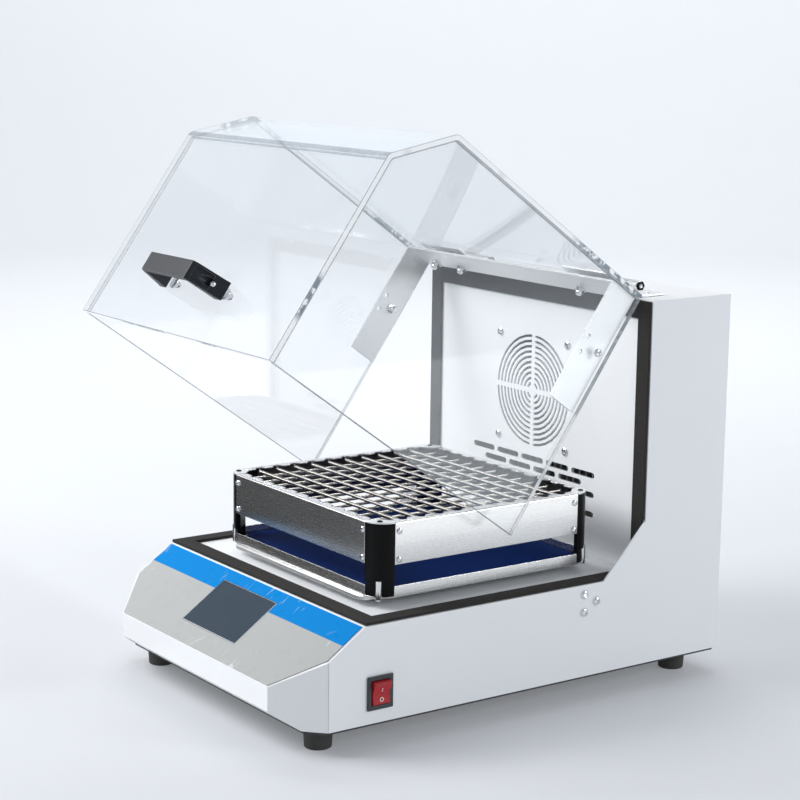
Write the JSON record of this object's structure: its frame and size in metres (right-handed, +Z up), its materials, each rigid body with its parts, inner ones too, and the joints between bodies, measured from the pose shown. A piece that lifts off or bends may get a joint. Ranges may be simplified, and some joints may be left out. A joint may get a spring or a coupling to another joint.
{
  "type": "benchtop orbital shaker",
  "caption": "Benchtop orbital shaker with a crank-driven spring platform, heated chamber and a clear hood hinged at the back",
  "frame": {"origin": "on the table under the middle of the instrument's overall box, with the hood standing open", "axes": "+Z up, +X to the operator's right, +Y towards the back"},
  "size_m": [0.347, 0.5192, 0.5242],
  "materials": {
    "housing_paint": "satin white paint",
    "base_paint": "matt dark paint",
    "foot_rubber": "matt",
    "gasket_foam": "closed-cell foam",
    "overlay_film": "printed film",
    "screen_glass": "polished",
    "black_plastic": "moulded",
    "rocker_plastic": "translucent red",
    "handle_plastic": "moulded",
    "aluminium": "satin",
    "stainless": "brushed",
    "spring_steel": "drawn wire",
    "turned_steel": "turned",
    "motor_steel": "grey paint",
    "cast_iron": "machined",
    "belt_rubber": "matt",
    "board": "laminate",
    "mat_rubber": "matt",
    "acrylic": "clear, polished"
  },
  "bodies": {
    "housing": {"front_panel": "housing_paint", "side_panel_left": "housing_paint", "side_panel_right": "housing_paint", "deck_plate": "housing_paint", "column_front_plate": "housing_paint", "back_cover": "housing_paint", "base_plate": "base_paint", "foot_front_left": "foot_rubber", "foot_back_left": "foot_rubber", "foot_front_right": "foot_rubber", "foot_back_right": "foot_rubber", "deck_gasket": "gasket_foam", "column_gasket": "gasket_foam", "panel_overlay": "overlay_film", "touch_screen": "screen_glass", "switch_bezel": "black_plastic", "power_inlet": "black_plastic", "fan_frame": "black_plastic", "heater": "aluminium", "control_board": "board", "temperature_sensor": "stainless", "bearing_housing": "cast_iron", "idler_bearing_left": "cast_iron", "idler_bearing_right": "cast_iron", "drive_motor": "motor_steel", "drive_belt": "belt_rubber", "hinge_base_left": "stainless", "hinge_base_right": "stainless"},
    "hood": {"hood_wrap": "acrylic", "hood_side_left": "acrylic", "hood_side_right": "acrylic", "hood_bracket": "aluminium", "hood_handle": "handle_plastic", "hinge_leaf_left": "stainless", "hinge_leaf_right": "stainless"},
    "rocker": {"switch_rocker": "rocker_plastic"},
    "fan": {"fan_impeller": "black_plastic"},
    "crank": {"main_crank": "turned_steel", "driven_pulley": "aluminium", "counterweight": "cast_iron"},
    "motor_drive": {"motor_shaft": "turned_steel", "motor_pulley": "aluminium"},
    "idler_left": {"idler_crank_left": "turned_steel"},
    "idler_right": {"idler_crank_right": "turned_steel"},
    "platform": {"drive_plate": "aluminium", "tray": "stainless", "tray_mat": "mat_rubber", "corner_post_front_left": "black_plastic", "corner_post_front_right": "black_plastic", "corner_post_back_left": "black_plastic", "corner_post_back_right": "black_plastic", "frame_plate_front": "stainless", "frame_plate_back": "stainless", "frame_plate_left": "stainless", "frame_plate_right": "stainless", "long_springs_front": "spring_steel", "long_springs_back": "spring_steel", "cross_springs_left": "spring_steel", "cross_springs_middle": "spring_steel", "cross_springs_right": "spring_steel"}
  },
  "joints": [
    {"name": "hood_hinge", "type": "hinge", "parent": "housing", "child": "hood", "pos_m": [0, 0.159, 0.379], "axis": [1, 0, 0], "range_deg": [-50, 35.4]},
    {"name": "rocker_tilt", "type": "hinge", "parent": "housing", "child": "rocker", "pos_m": [0.171, -0.1464, 0.0497], "axis": [0, 1, 0], "range_deg": [-18, 0]},
    {"name": "fan_spin", "type": "hinge", "parent": "housing", "child": "fan", "pos_m": [-0.002, 0.1688, 0.258], "axis": [0, 1, 0], "continuous": true},
    {"name": "crank_spin", "type": "hinge", "parent": "housing", "child": "crank", "pos_m": [0, -0.006, 0.06], "axis": [0, 0, 1], "continuous": true},
    {"name": "platform_pin", "type": "hinge", "parent": "crank", "child": "platform", "pos_m": [0.01, -0.006, 0.117], "axis": [0, 0, 1], "continuous": true},
    {"name": "idler_left_spin", "type": "hinge", "parent": "housing", "child": "idler_left", "pos_m": [-0.08, 0.064, 0.06], "axis": [0, 0, 1], "continuous": true},
    {"name": "idler_right_spin", "type": "hinge", "parent": "housing", "child": "idler_right", "pos_m": [0.08, -0.076, 0.06], "axis": [0, 0, 1], "continuous": true},
    {"name": "motor_spin", "type": "hinge", "parent": "housing", "child": "motor_drive", "pos_m": [0.095, 0.06, 0.07], "axis": [0, 0, 1], "continuous": true}
  ],
  "couplings": [
    {"joint": "platform_pin", "follows": "crank_spin", "ratio": -1},
    {"joint": "idler_left_spin", "follows": "crank_spin", "ratio": 1},
    {"joint": "idler_right_spin", "follows": "crank_spin", "ratio": 1},
    {"joint": "motor_spin", "follows": "crank_spin", "ratio": 2.8125}
  ]
}
